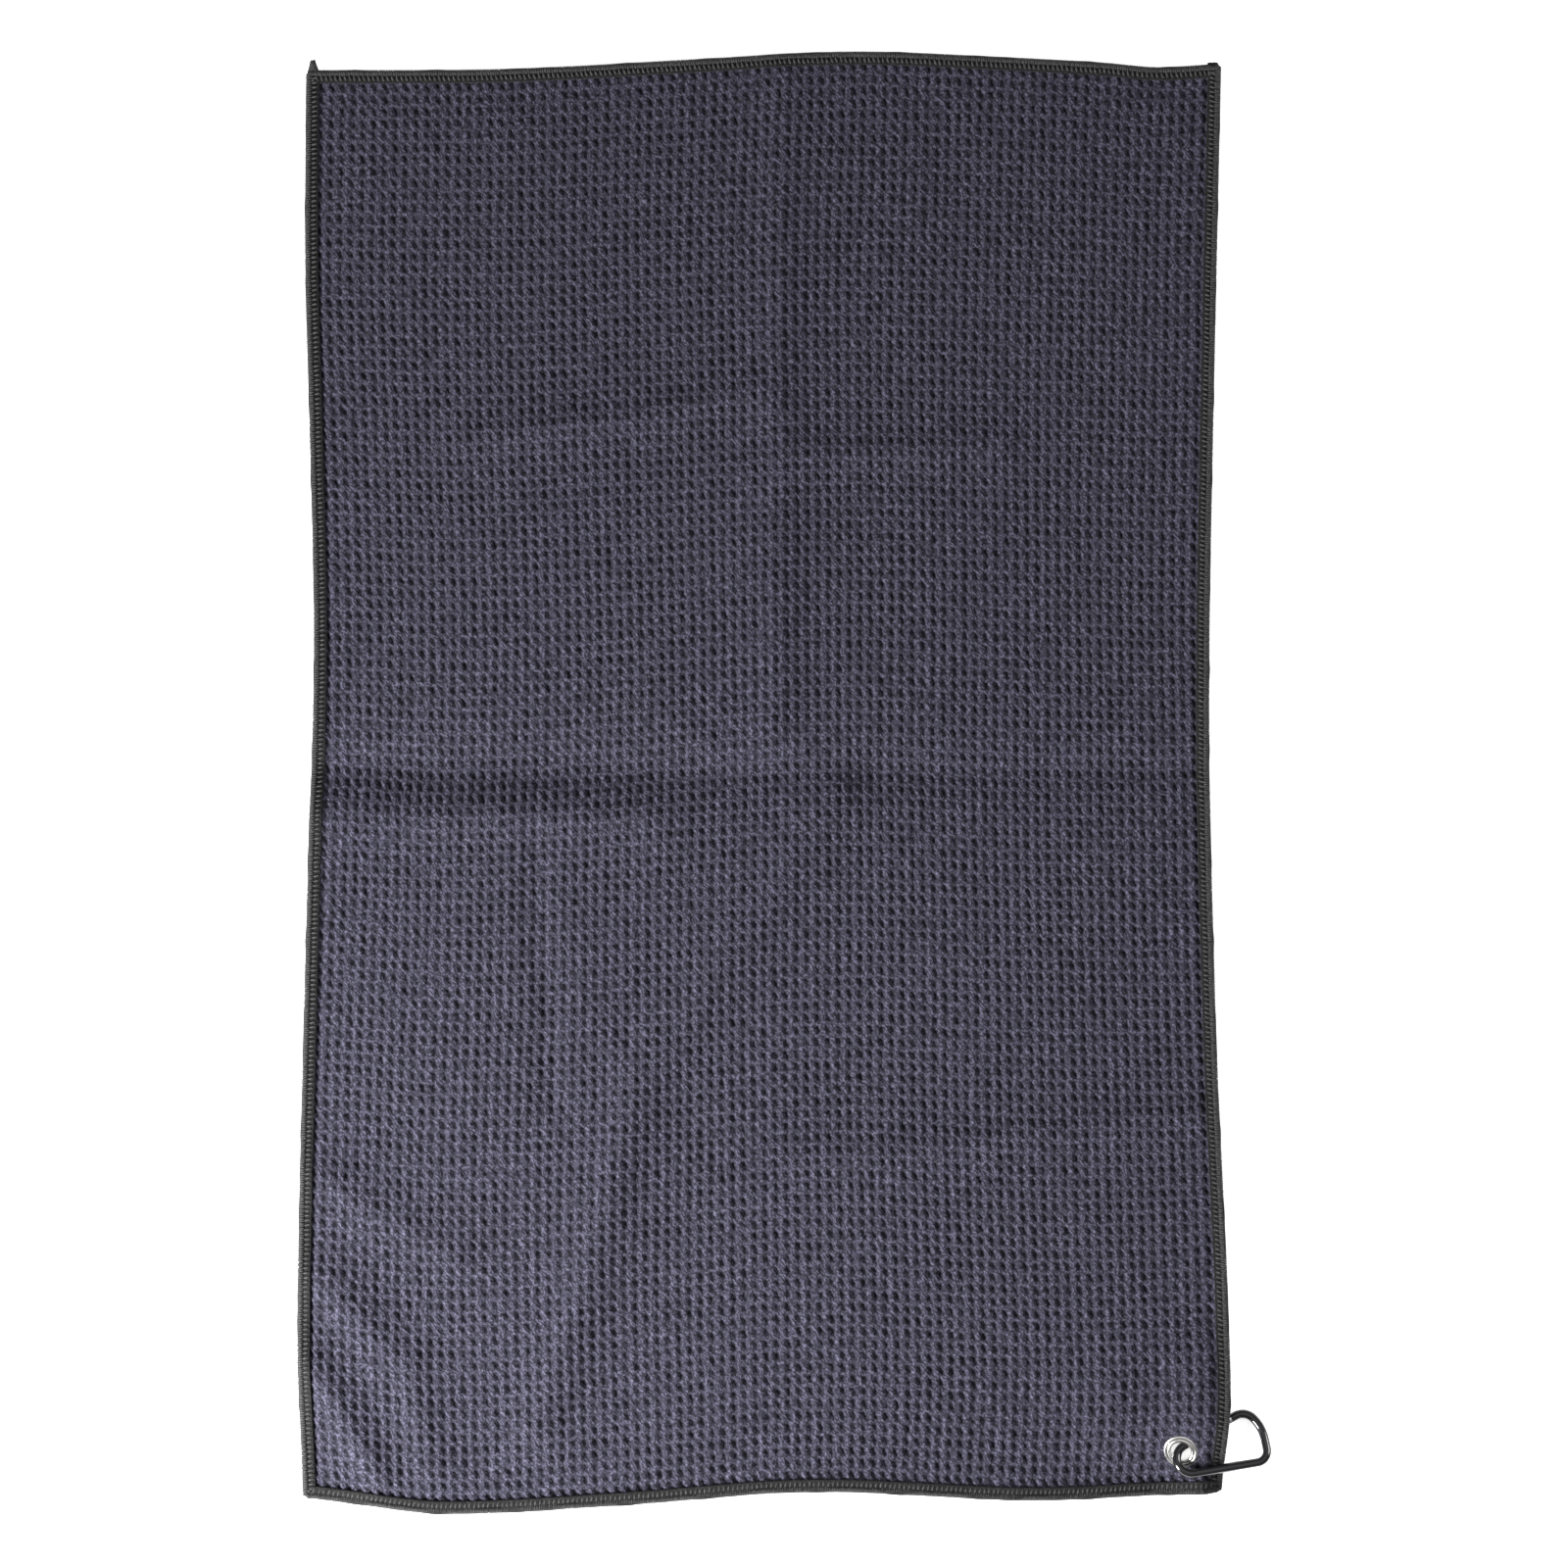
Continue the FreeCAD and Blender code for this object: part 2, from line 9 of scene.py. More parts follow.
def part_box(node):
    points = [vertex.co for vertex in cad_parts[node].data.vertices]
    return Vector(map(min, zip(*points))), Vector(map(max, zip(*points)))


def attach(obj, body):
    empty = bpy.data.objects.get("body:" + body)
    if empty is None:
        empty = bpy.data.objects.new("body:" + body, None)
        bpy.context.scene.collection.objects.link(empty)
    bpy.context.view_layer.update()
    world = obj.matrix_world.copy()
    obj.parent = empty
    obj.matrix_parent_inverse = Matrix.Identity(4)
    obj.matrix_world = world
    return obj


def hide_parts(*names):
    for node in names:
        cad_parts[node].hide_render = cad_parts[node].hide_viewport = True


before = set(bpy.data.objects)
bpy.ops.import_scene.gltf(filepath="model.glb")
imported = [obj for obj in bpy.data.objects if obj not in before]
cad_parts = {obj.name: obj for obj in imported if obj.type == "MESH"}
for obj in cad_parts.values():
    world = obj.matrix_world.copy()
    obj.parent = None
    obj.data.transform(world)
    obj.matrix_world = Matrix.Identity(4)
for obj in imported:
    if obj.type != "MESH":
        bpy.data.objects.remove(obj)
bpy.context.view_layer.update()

MM = 0.001

# cloth
ACROSS = 84                 # waffle cells across the panel
ALONG = 118                 # waffle cells along the panel
TOP_STEP = 6                # mesh steps per cell on the face
BACK_STEP = 3               # and on the back
PIT = 1.25 * MM             # depth of a waffle pit on the face
BACK_PIT = 0.35             # depth of a pit on the back, as a share of that
NAP = 0.08 * MM             # roughness of the pile
PIT_LEAN = 0.42             # slant of a pit: cells across per cell along
PIT_HALF = 0.21             # half width of a pit, in cells
PIT_SIDE = 0.14             # and half the width of its sloping sides
MOUND = 0.16                # height of the pile between the pits, in pit depths
FRAY = 0.03                 # unevenness of a pit's rim, in cells
PIT_PAINTED_SHADE = 0.88            # painted shade: how far the bottom of a pit takes the dark colour of shade
TUCK = 0.9 * MM             # how far the cloth goes under the hems
FACE_DROP = 1.0 * MM        # from the top of the hem down to the face
BACK_GAP = 0.15 * MM        # from the ground up to the back
HOLE = 4.9 * MM             # hole in the cloth for the barrel of the grommet, radius
CLAMPED = 7.3 * MM          # the grommet holds the cloth flat inside this radius
FREE = 9.6 * MM             # and the cloth is free outside this one
CLAMP = 0.45 * MM           # half of the cloth's thickness in the clamp

# how the cloth lies
REST = 2.6 * MM             # usual height of the cloth's underside over the floor
WAVE = 0.35 * MM            # height of its soft waves
LOW = 0.2 * MM              # and the least height before it fades at the grommet
LIFT_WIDE = 110 * MM        # size of the lifted corner that the CAD cloth shapes
LIFT_LONG = 130 * MM
LIFT_STEP = 1.5 * MM        # spacing of its height readings
LIFT_FADE = 10 * MM         # edge in which they fade into the laid cloth
CALM = (16 * MM, 75 * MM)   # that height starts and is whole this far from the grommet
HELD = 0.75                 # share of it that the lifted corner takes away

# hem
RAIL_STEP = 4 * MM          # spacing of the readings along a CAD hem
STITCH = 2.0 * MM           # distance between looper stitches
ROLL = 2.4 * MM             # width of the rolled outer edge
BAND_DROP = 0.5 * MM        # from the top of the roll down to the band inside it
REACH = 4.9 * MM            # how far the stitches go in from the edge
LAP = 4.2 * MM              # how far the top and bottom runs go into the corners
MORE_THICK = {"top": -0.1 * MM, "bottom": 0.25 * MM}    # than the left and right runs
HEM_STEP = 0.4 * MM         # mesh step along a hem
HEM_LAP = 0.3 * MM          # how far the band reaches over the cloth
END_PULL = 1.1 * MM         # how far the roll draws in at the ends of a run
END_GAP = 0.6 * MM          # from the end of a run to its first thread bar
RIB = 0.10 * MM             # depth of the ribs on the roll
GRAIN = 0.035 * MM          # roughness of the thread
ROLL_BAR = 0.50 * MM        # radius of the thread bars over the rolled edge
BAND_BAR = 0.46 * MM        # radius of the longer bars inside it
EAR_ROOT = 0.8 * MM         # how far the ear starts inside the left run
EAR_FOOT = 3.0 * MM         # half width of the ear at its foot
EAR_TIP = 1.2 * MM          # and at its tip
EAR_LEAN = 0.3 * MM         # how far its tip stands to the left of its foot
EAR_END = 1.2 * MM          # from the CAD thread's end back to the ear's last turn
EAR_THREAD = 0.5 * MM       # radius of its thread
EAR_TURNS = 8

# rows of thread bars, each from one place around the hem to another: 0 is under the rolled
# edge, 1 over its top, 2 at the inner side; proud is how far a bar rises, in radii
THREADS = (
    {"pitch": STITCH / 2, "first": 0.15, "last": 1.24, "slant": 0.25 * STITCH,
     "fat": ROLL_BAR, "proud": -0.25, "seed": 5},
    {"pitch": STITCH, "first": 1.30, "last": 1.92, "slant": 0.30 * STITCH,
     "fat": BAND_BAR, "proud": 0.25, "seed": 8},
)

# looks
GRAIN_TURN = -52            # direction of the fabric's grain, in degrees
GRAIN_SHAPE = (1.7, 0.75, 1.0)  # its stretch along, across and through the cloth

# view
LENS = 85                   # mm
SENSOR = 36                 # mm
FIELD = 0.6667              # width of the view on the floor, in metres
VIEW_SHIFT = -0.4 * MM      # camera place along the towel
FLOOR_HALF = 3              # half width of the floor, in metres

rng = np.random.default_rng(7)


# ---------------------------------------------------------------- frame readings
def node_points(name):
    """Points of a CAD piece."""
    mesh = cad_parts[name].data
    co = np.empty(len(mesh.vertices) * 3)
    mesh.vertices.foreach_get("co", co)
    return co.reshape(-1, 3)


def rails(node, along):
    """Outer and inner plan lines of a hem: places along it, then both offsets, by slicing it."""
    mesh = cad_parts[node].data
    p = node_points(node)
    ends = np.empty(len(mesh.edges) * 2, np.int32)
    mesh.edges.foreach_get("vertices", ends)
    a, b = p[ends[0::2]], p[ends[1::2]]
    side = 1 - along
    sign = 1 if p[:, side].mean() > 0 else -1
    low, high = p[:, along].min(), p[:, along].max()
    count = int((high - low) / RAIL_STEP)
    places = np.linspace(low + 0.02 * MM, high - 0.02 * MM, count)
    outer, inner = [], []
    for place in places:
        cross = (a[:, along] - place) * (b[:, along] - place) <= 0
        cross &= np.abs(a[:, along] - b[:, along]) > 1e-9
        u, v = a[cross], b[cross]
        s = (place - u[:, along]) / (v[:, along] - u[:, along])
        reach = sign * (u[:, side] + s * (v[:, side] - u[:, side]))
        outer.append(sign * reach.max())
        inner.append(sign * reach.min())
    return places, np.array(outer), np.array(inner)


RAILS = {name: (axis, rails("hem_" + name, axis))
         for name, axis in (("left", 1), ("right", 1), ("top", 0), ("bottom", 0))}


def follow(name, t, far):
    """Offset of a hem's outer (far) or inner line at places t along it."""
    places, outer, inner = RAILS[name][1]
    return np.interp(t, places, outer if far else inner)


def neighbours(grid, **fill):
    """The four neighbours of every cell of a grid, stacked."""
    pad = np.pad(grid, 1, **fill)
    return np.stack([pad[1:-1, 2:], pad[1:-1, :-2], pad[2:, 1:-1], pad[:-2, 1:-1]])


def filled(grid, rounds=60):
    """Grid with its empty cells grown over from their neighbours."""
    for _ in range(rounds):
        gap = np.isnan(grid)
        if not gap.any():
            break
        near = neighbours(grid, constant_values=np.nan)
        count = (~np.isnan(near)).sum(0)
        mean = np.nansum(near, 0) / np.maximum(count, 1)
        grid = np.where(gap & (count > 0), mean, grid)
    return grid


def sampled_lift():
    """Height of the cloth's underside on a grid over the lifted corner, from the CAD pieces."""
    verts, faces = [], []
    for name in ("towel_cloth", "hem_right", "hem_bottom"):
        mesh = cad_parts[name].data
        base = len(verts)
        verts += [v.co.copy() for v in mesh.vertices]
        faces += [[base + i for i in p.vertices] for p in mesh.polygons]
    tree = BVHTree.FromPolygons(verts, faces)
    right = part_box("hem_right")[1].x
    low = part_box("hem_bottom")[0].y
    xs = np.arange(right - LIFT_WIDE, right + 0.5 * MM, LIFT_STEP)
    ys = np.arange(low, low + LIFT_LONG, LIFT_STEP)
    grid = np.full((len(xs), len(ys)), np.nan)
    for i, x in enumerate(xs):
        for j, y in enumerate(ys):
            hit = tree.ray_cast(Vector((x, y, -50 * MM)), Vector((0, 0, 1)))[0]
            if hit is not None:
                grid[i, j] = hit.z
    grid = filled(grid)
    for _ in range(3):
        grid = (neighbours(grid, mode="edge").sum(0) + 4 * grid) / 8
    return xs, ys, grid


LIFT_X, LIFT_Y, LIFT_GRID = sampled_lift()
HEM_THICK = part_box("hem_left")[1].z
GROMMET = node_points("grommet_eyelet")
GROMMET_CENTRE = (GROMMET.max(0) + GROMMET.min(0)) / 2
GROMMET_NORMAL = np.linalg.svd(GROMMET - GROMMET.mean(0), full_matrices=False)[2][2]
GROMMET_NORMAL *= np.sign(GROMMET_NORMAL[2])


def ease(x, a, b):
    """0 before a, 1 after b, smooth between."""
    s = np.clip((x - a) / (b - a), 0, 1)
    return s * s * (3 - 2 * s)


def lift(x, y):
    """CAD height of the cloth's underside at (x, y), read between the grid's cells."""
    i = np.clip((x - LIFT_X[0]) / (LIFT_X[1] - LIFT_X[0]), 0, len(LIFT_X) - 1.001)
    j = np.clip((y - LIFT_Y[0]) / (LIFT_Y[1] - LIFT_Y[0]), 0, len(LIFT_Y) - 1.001)
    a, b = i.astype(int), j.astype(int)
    s, t = i - a, j - b
    g = LIFT_GRID
    z = (g[a, b] * (1 - s) * (1 - t) + g[a + 1, b] * s * (1 - t)
         + g[a, b + 1] * (1 - s) * t + g[a + 1, b + 1] * s * t)
    inside = ease(x, LIFT_X[0], LIFT_X[0] + LIFT_FADE)
    inside = inside * (1 - ease(y, LIFT_Y[-1] - LIFT_FADE, LIFT_Y[-1]))
    return np.maximum(z, 0) * inside


def distance(x, y, points):
    """Plan distance from (x, y) to the line through points given in mm."""
    best = np.full(np.shape(x), np.inf)
    for (ax, ay), (bx, by) in zip(points, points[1:]):
        ax, ay, bx, by = (v * MM for v in (ax, ay, bx, by))
        span = (bx - ax) ** 2 + (by - ay) ** 2
        t = np.clip(((x - ax) * (bx - ax) + (y - ay) * (by - ay)) / span, 0, 1)
        best = np.minimum(best, np.hypot(x - ax - t * (bx - ax), y - ay - t * (by - ay)))
    return best


def crease(x, y, points, high, wide):
    """Soft fold along a line of points, high at the line and fading to its sides and ends."""
    d = distance(x, y, points) / (wide * MM)
    return high * MM * np.exp(1 - np.sqrt(1 + 4 * d * d))


# fold lines of the laid cloth: points in mm, height in mm (negative is a valley), width in mm
FOLDS = (
    ([(-2, 301), (-2, 150), (-3, 2)], 2.2, 13),
    ([(-195, 6), (-60, 5), (-5, 3)], -2.5, 13),
    ([(-195, -14), (-110, -13), (-60, -14)], 2.2, 14),
    ([(0, 5), (90, 4), (176, 6)], -1.7, 11),
    ([(-133, 147), (-75, 154), (-12, 166)], 1.4, 9),
    ([(14, 139), (90, 144)], 1.4, 9),
    ([(6, -159), (66, -154), (173, -139)], 1.7, 9),
    ([(-106, -22), (-102, -90), (-97, -136)], -1.3, 8),
    ([(24, -5), (2, -40), (-29, -82), (-59, -122), (-71, -158), (-76, -182), (-93, -240),
      (-104, -272)], 3.3, 14),
    ([(-200, -164), (-140, -201)], 1.7, 12),
    ([(-197, -210), (-159, -248), (-150, -288)], 2.4, 13),
    ([(-200, -246), (-186, -270), (-171, -294)], 3.2, 11),
)


def waves(x, y):
    """Soft waves of the laid cloth, about 1 high."""
    return (np.sin(x / 0.047 + 1.3) * np.sin(y / 0.061 + 0.4)
            + 0.7 * np.sin(x / 0.029 - y / 0.043 + 2.0)
            + 0.5 * np.sin(x / 0.083 + y / 0.035))


def drape(x, y):
    """Extra height of the laid cloth over the ground: fold creases and soft waves."""
    z = REST + WAVE * waves(x, y)
    for points, high, wide in FOLDS:
        z = z + crease(x, y, points, high, wide)
    far = np.hypot(x - GROMMET_CENTRE[0], y - GROMMET_CENTRE[1])
    on_floor = 1 - HELD * ease(lift(x, y), 0.0, 3 * MM)
    return np.maximum(z, LOW) * ease(far, *CALM) * on_floor


def height(x, y):
    """Height of the cloth's underside in the scene."""
    return lift(x, y) + drape(x, y)


# ---------------------------------------------------------------- mesh helpers
def make_mesh(name, verts, faces, smooth=True):
    """Mesh object from an (n, 3) array and an (m, 4) or (m, 3) index array, or a list of both."""
    blocks = faces if isinstance(faces, list) else [faces]
    blocks = [np.asarray(b, np.int32) for b in blocks if len(b)]
    sizes = np.concatenate([np.full(len(b), b.shape[1], np.int32) for b in blocks])
    loops = np.concatenate([b.ravel() for b in blocks])
    starts = np.concatenate([[0], np.cumsum(sizes)[:-1]]).astype(np.int32)
    mesh = bpy.data.meshes.new(name)
    mesh.vertices.add(len(verts))
    mesh.vertices.foreach_set("co", np.asarray(verts, np.float32).ravel())
    mesh.loops.add(len(loops))
    mesh.loops.foreach_set("vertex_index", loops)
    mesh.polygons.add(len(sizes))
    mesh.polygons.foreach_set("loop_start", starts)
    mesh.polygons.foreach_set("use_smooth", np.full(len(sizes), smooth))
    mesh.update(calc_edges=True)
    mesh.validate()
    obj = bpy.data.objects.new(name, mesh)
    bpy.context.scene.collection.objects.link(obj)
    return obj


def grid_faces(rows, cols, flip=False):
    """Quads of a grid of points, row by row."""
    i, j = np.meshgrid(np.arange(rows - 1), np.arange(cols - 1), indexing="ij")
    a = (i * cols + j).ravel()
    quads = np.stack([a, a + cols, a + cols + 1, a + 1], 1)
    return quads[:, ::-1] if flip else quads


def tube(path, radius, sides=8):
    """Vertices and quads of a round tube along an (n, 3) path; radius may vary along it."""
    path = np.asarray(path, float)
    ahead = np.gradient(path, axis=0)
    ahead /= np.maximum(np.linalg.norm(ahead, axis=1, keepdims=True), 1e-12)
    up = np.tile([0.0, 0.0, 1.0], (len(path), 1))
    steep = np.abs(ahead[:, 2]) > 0.95
    up[steep] = [0.0, 1.0, 0.0]
    side = np.cross(ahead, up)
    side /= np.maximum(np.linalg.norm(side, axis=1, keepdims=True), 1e-12)
    up = np.cross(side, ahead)
    turn = np.linspace(0, 2 * math.pi, sides, endpoint=False)
    r = np.broadcast_to(np.asarray(radius, float), (len(path),))[:, None, None]
    ring = (np.cos(turn)[None, :, None] * side[:, None] + np.sin(turn)[None, :, None] * up[:, None])
    verts = (path[:, None] + r * ring).reshape(-1, 3)
    i, j = np.meshgrid(np.arange(len(path) - 1), np.arange(sides), indexing="ij")
    here, beside = i * sides + j, i * sides + (j + 1) % sides
    quads = np.stack([here, here + sides, beside + sides, beside], -1)
    return verts, quads.reshape(-1, 4)


def join(parts):
    """One set of vertices and faces out of several."""
    verts, faces, base = [], [], 0
    for v, f in parts:
        verts.append(v)
        faces.append(f + base)
        base += len(v)
    return np.concatenate(verts), np.concatenate(faces)


# ---------------------------------------------------------------- cloth
def plan(s, t):
    """Plan place of panel coordinates (0..1, 0..1), tucked a little under the hems."""
    y0, y1 = follow("bottom", 0.0, 0), follow("top", 0.0, 0)
    y = y0 + (y1 - y0) * t
    for _ in range(4):
        left, right = follow("left", y, 0) - TUCK, follow("right", y, 0) + TUCK
        x = left + (right - left) * s
        low, high = follow("bottom", x, 0) - TUCK, follow("top", x, 0) + TUCK
        y = low + (high - low) * t
    return x, y


def wander(u, v):
    """Cell coordinates with the slow wander of the weave, in cells."""
    du = 0.12 * np.sin(v / 13.0 + 0.6) + 0.05 * np.sin(u / 7.0 + v / 5.0)
    dv = 0.12 * np.sin(u / 15.0 + 1.1) + 0.05 * np.sin(v / 6.0 - u / 8.0)
    return u + du, v + dv


def waffle(u, v, seed):
    """Relief of the weave at cell coordinates (u, v), and how much painted shade darkens its pits.

    The relief is 0 on the ridges and about -1 deep in a pit. A pit is a slanted slot, and its
    width, depth, place and the pile beside it vary from cell to cell.
    """
    u, v = wander(u, v)
    column, row = np.floor(u).astype(int), np.floor(v).astype(int)
    a, b = u - column, v - row
    tones = np.random.default_rng(seed).random((4, 160, 160))
    width, depth, pile, shift = tones[:, column % 160, row % 160]
    fray = rng.normal(0, FRAY, u.shape)
    off = (a - 0.5) + PIT_LEAN * (b - 0.5) + 0.06 * (shift - 0.5) + fray
    half = PIT_HALF + 0.06 * (width - 0.5)
    across = 1 - ease(np.abs(off), half - PIT_SIDE, half + PIT_SIDE)
    tall = ease(b + fray, 0.06, 0.38) * (1 - ease(b + fray, 0.66, 0.97))
    pit = across * (0.32 + 0.68 * tall) * (0.75 + 0.25 * b) * (0.75 + 0.35 * depth)
    mound = MOUND * np.sin(math.pi * b) ** 2 * (1 - across) * (0.4 + pile)
    # the second value is painted shade, deepest at the bottom of a pit
    return mound - pit, PIT_PAINTED_SHADE * pit


def clamped(x, y, z, level):
    """Heights with the cloth held flat in the grommet's clamp, level above its middle plane."""
    out = np.hypot(x - GROMMET_CENTRE[0], y - GROMMET_CENTRE[1])
    fall = ((x - GROMMET_CENTRE[0]) * GROMMET_NORMAL[0]
            + (y - GROMMET_CENTRE[1]) * GROMMET_NORMAL[1]) / GROMMET_NORMAL[2]
    keep = ease(out, CLAMPED, FREE)
    return z * keep + (GROMMET_CENTRE[2] - fall + level) * (1 - keep)


def cloth_side(step, face):
    """Grid of points of the face or the back, their panel coordinates and the painted shade in
    their pits.
    """
    cols, rows = ACROSS * step + 1, ALONG * step + 1
    s, t = np.meshgrid(np.linspace(0, 1, cols), np.linspace(0, 1, rows), indexing="ij")
    x, y = plan(s, t)
    relief, pit = waffle(s * ACROSS, t * ALONG, 3 if face else 4)
    if face:
        nap = rng.normal(0, NAP, x.shape)
        z = height(x, y) + HEM_THICK - FACE_DROP + PIT * relief + nap
    else:
        z = height(x, y) + BACK_GAP - BACK_PIT * PIT * relief
    z = clamped(x, y, z, CLAMP if face else -CLAMP)
    return np.stack([x, y, z], -1), s, t, pit


def outside_hole(quads, points):
    """The quads of a side that keep clear of the hole for the grommet's barrel."""
    flat = points.reshape(-1, 3)
    out = np.hypot(flat[:, 0] - GROMMET_CENTRE[0], flat[:, 1] - GROMMET_CENTRE[1])
    return quads[(out[quads] > HOLE).all(1)]


def rim(cols, rows):
    """Indices around the border of a grid of points."""
    i = np.arange(cols * rows).reshape(cols, rows)
    return np.concatenate([i[:-1, 0], i[-1, :-1], i[::-1, -1][:-1], i[0, ::-1][:-1]])


def skirt(upper, lower):
    """Triangles that close the border between the finer face and the back."""
    ratio = len(upper) // len(lower)
    first = np.arange(len(lower)) * ratio
    fans = [np.stack([upper[first + k], lower, upper[(first + k + 1) % len(upper)]], 1)
            for k in range(ratio)]
    closing = np.stack([upper[(first + ratio) % len(upper)], lower, np.roll(lower, -1)], 1)
    return np.concatenate(fans + [closing])


def make_cloth():
    """Closed sheet: woven face, shallower back, and a skirt between them under the hems."""
    face, face_s, face_t, face_painted_shade = cloth_side(TOP_STEP, True)
    back, back_s, back_t, back_painted_shade = cloth_side(BACK_STEP, False)
    base = face.shape[0] * face.shape[1]
    face_quads = outside_hole(grid_faces(*face.shape[:2]), face)
    back_quads = outside_hole(grid_faces(*back.shape[:2], flip=True), back) + base
    border = skirt(rim(*face.shape[:2]), rim(*back.shape[:2]) + base)
    verts = np.concatenate([face.reshape(-1, 3), back.reshape(-1, 3)])
    obj = make_mesh("cloth", verts, [face_quads, back_quads, border])

    # the face fills the left part of the map, the back a smaller part on the right
    face_uv = np.stack([face_s * 0.62, face_t], -1).reshape(-1, 2) * 0.985 + 0.002
    back_uv = np.stack([0.64 + back_s * 0.34, back_t * 0.55], -1).reshape(-1, 2)
    uv = np.concatenate([face_uv, back_uv])
    layer = obj.data.uv_layers.new(name="OFBake")
    index = np.empty(len(obj.data.loops), np.int32)
    obj.data.loops.foreach_get("vertex_index", index)
    layer.data.foreach_set("uv", uv[index].astype(np.float32).ravel())

    # painted shade in the pits, stored in the pit attribute for the cloth's material
    painted_shade = obj.data.attributes.new("pit", "FLOAT", "POINT")
    depth = np.concatenate([face_painted_shade.ravel(), back_painted_shade.ravel()])
    painted_shade.data.foreach_set("value", depth.astype(np.float32))
    return obj


# ---------------------------------------------------------------- hem
def hem_frame(name, t):
    """Outer edge points of one hem at places t, and the steps inward, square to the edge."""
    outer = follow(name, t, 1)
    sign = np.sign(follow(name, t, 0) - outer)
    step = 0.1 * MM
    slope = (follow(name, t + step, 1) - follow(name, t - step, 1)) / (2 * step)
    edge, inward = [outer, t], [sign, -sign * slope]
    if RAILS[name][0] == 0:
        edge, inward = edge[::-1], inward[::-1]
    return np.stack(edge, -1), np.stack(inward, -1)


def hem_profile(width, thick):
    """Section of the hem: distance in from the edge and height of each point."""
    half = thick / 2
    turn = np.radians(np.linspace(-90, 90, 13))
    roll = [(half - half * math.cos(a), half + half * math.sin(a)) for a in turn]
    face = [(d, thick - BAND_DROP * ease(d, ROLL - 0.5 * MM, ROLL + 0.3 * MM))
            for d in np.linspace(half, width, 11)[1:]]
    back = [(d, 0.1 * MM) for d in np.linspace(width, half, 4)[:-1]]
    return np.array(roll + face + back)


def hem_ends(name):
    """First and last place of a run; the top and bottom runs lap into the corners."""
    places = RAILS[name][1][0]
    lap = LAP if RAILS[name][0] == 0 else 0
    return places[0] - lap, places[-1] + lap


def hem_lumps(name, t, deep, on_roll):
    """Ribs of the cross threads on the roll, and the grain of the thread all over."""
    phase = t[:, None] / STITCH
    wobble = 0.15 * np.sin(phase * 0.9) + 0.1 * np.sin(phase * 2.3 + 1)
    rib = np.cos(2 * math.pi * (2 * phase + wobble + deep / STITCH))
    grain = np.random.default_rng(11 + len(name)).normal(0, 1, rib.shape)
    return RIB * rib * on_roll + GRAIN * grain


def outward(profile, thick):
    """Unit steps out of the hem's section at its points."""
    off = profile - thick / 2
    off[profile[:, 0] > ROLL] = (0, 1)
    return off / np.maximum(np.linalg.norm(off, axis=1, keepdims=True), 1e-9)


def make_hem(name):
    """Hem body: rolled edge ribbed by its cross threads, flatter band inside it."""
    start, end = hem_ends(name)
    t = np.linspace(start, end, int((end - start) / HEM_STEP))
    edge, inward = hem_frame(name, t)
    width = float(np.median(np.abs(follow(name, t, 0) - follow(name, t, 1))))
    thick = HEM_THICK + MORE_THICK.get(name, 0.0)
    profile = hem_profile(width + HEM_LAP, thick)
    deep, high = profile.T
    off = outward(profile, thick)
    on_roll = 1 - ease(deep, ROLL - 0.3 * MM, ROLL + 0.4 * MM)
    lump = hem_lumps(name, t, deep, on_roll)
    pull = END_PULL * (1 - ease(np.minimum(t - start, end - t), -0.1 * MM, 1.8 * MM))
    sway = 0.25 * MM * np.sin(t / STITCH / 3.1) + 0.15 * MM * np.sin(t / STITCH / 1.3 + 2)
    d = deep + (pull - sway)[:, None] * on_roll + lump * off[:, 0]
    z = high + lump * off[:, 1] * (high > 0.2 * MM)
    xy = edge[:, None] + d[..., None] * inward[:, None]
    ground = height(xy[..., 0], xy[..., 1])
    verts = np.concatenate([xy, (z + ground)[..., None]], -1)
    rows, cols = verts.shape[:2]
    wrapped = np.concatenate([grid_faces(rows, cols), ring_close(rows, cols)])
    return make_mesh("hem_" + name + "_body", verts.reshape(-1, 3),
                     [wrapped, end_fans(rows, cols)])


def ring_close(rows, cols):
    """Quads that join the last column of a grid to its first."""
    i = np.arange(rows - 1)
    return np.stack([i * cols + cols - 1, (i + 1) * cols + cols - 1, (i + 1) * cols, i * cols], 1)


def end_fans(rows, cols):
    """Triangles that close both ends of a tube made of a grid."""
    j = np.arange(1, cols - 1)
    first = np.stack([np.zeros_like(j), j, j + 1], 1)
    last = first[:, ::-1] + (rows - 1) * cols
    return np.concatenate([first, last])


def on_hem(name, t, around, proud):
    """Points on the hem's skin at places t along it and around it, as THREADS counts them."""
    edge, inward = hem_frame(name, t)
    half = HEM_THICK / 2
    turn = math.pi * (np.minimum(around, 1) - 0.5)
    inner = np.maximum(around - 1, 0) * (REACH - half)
    d = half - (half + proud) * np.cos(turn) * (around < 1) + inner
    drop = BAND_DROP * ease(inner, ROLL - half - 0.4 * MM, ROLL - half + 0.4 * MM)
    z = half + (half + proud) * np.sin(turn) - drop
    xy = edge + d[..., None] * inward
    return np.concatenate([xy, (z + height(xy[..., 0], xy[..., 1]))[..., None]], -1)


def bars(name, pitch, first, last, slant, fat, proud, seed):
    """Thread bars laid side by side across the hem from one place around it to another."""
    start, end = hem_ends(name)
    count = int((end - start - 2 * END_GAP) / pitch)
    shift, turn, slide = np.random.default_rng(seed + len(name)).normal(0, 1, (3, count, 1))
    s = np.linspace(0, 1, 9)[None, :]
    middle = start + END_GAP + (np.arange(count)[:, None] + 0.5) * pitch + 0.06 * MM * shift
    t = middle + slant * (s - 0.5) * (1 + 0.15 * turn)
    around = first + (last - first) * s + 0.02 * slide
    rows = on_hem(name, t, around, proud * fat)
    taper = fat * (0.45 + 0.55 * np.sin(math.pi * s[0]) ** 0.5)
    return join([tube(row, taper, 6) for row in rows])


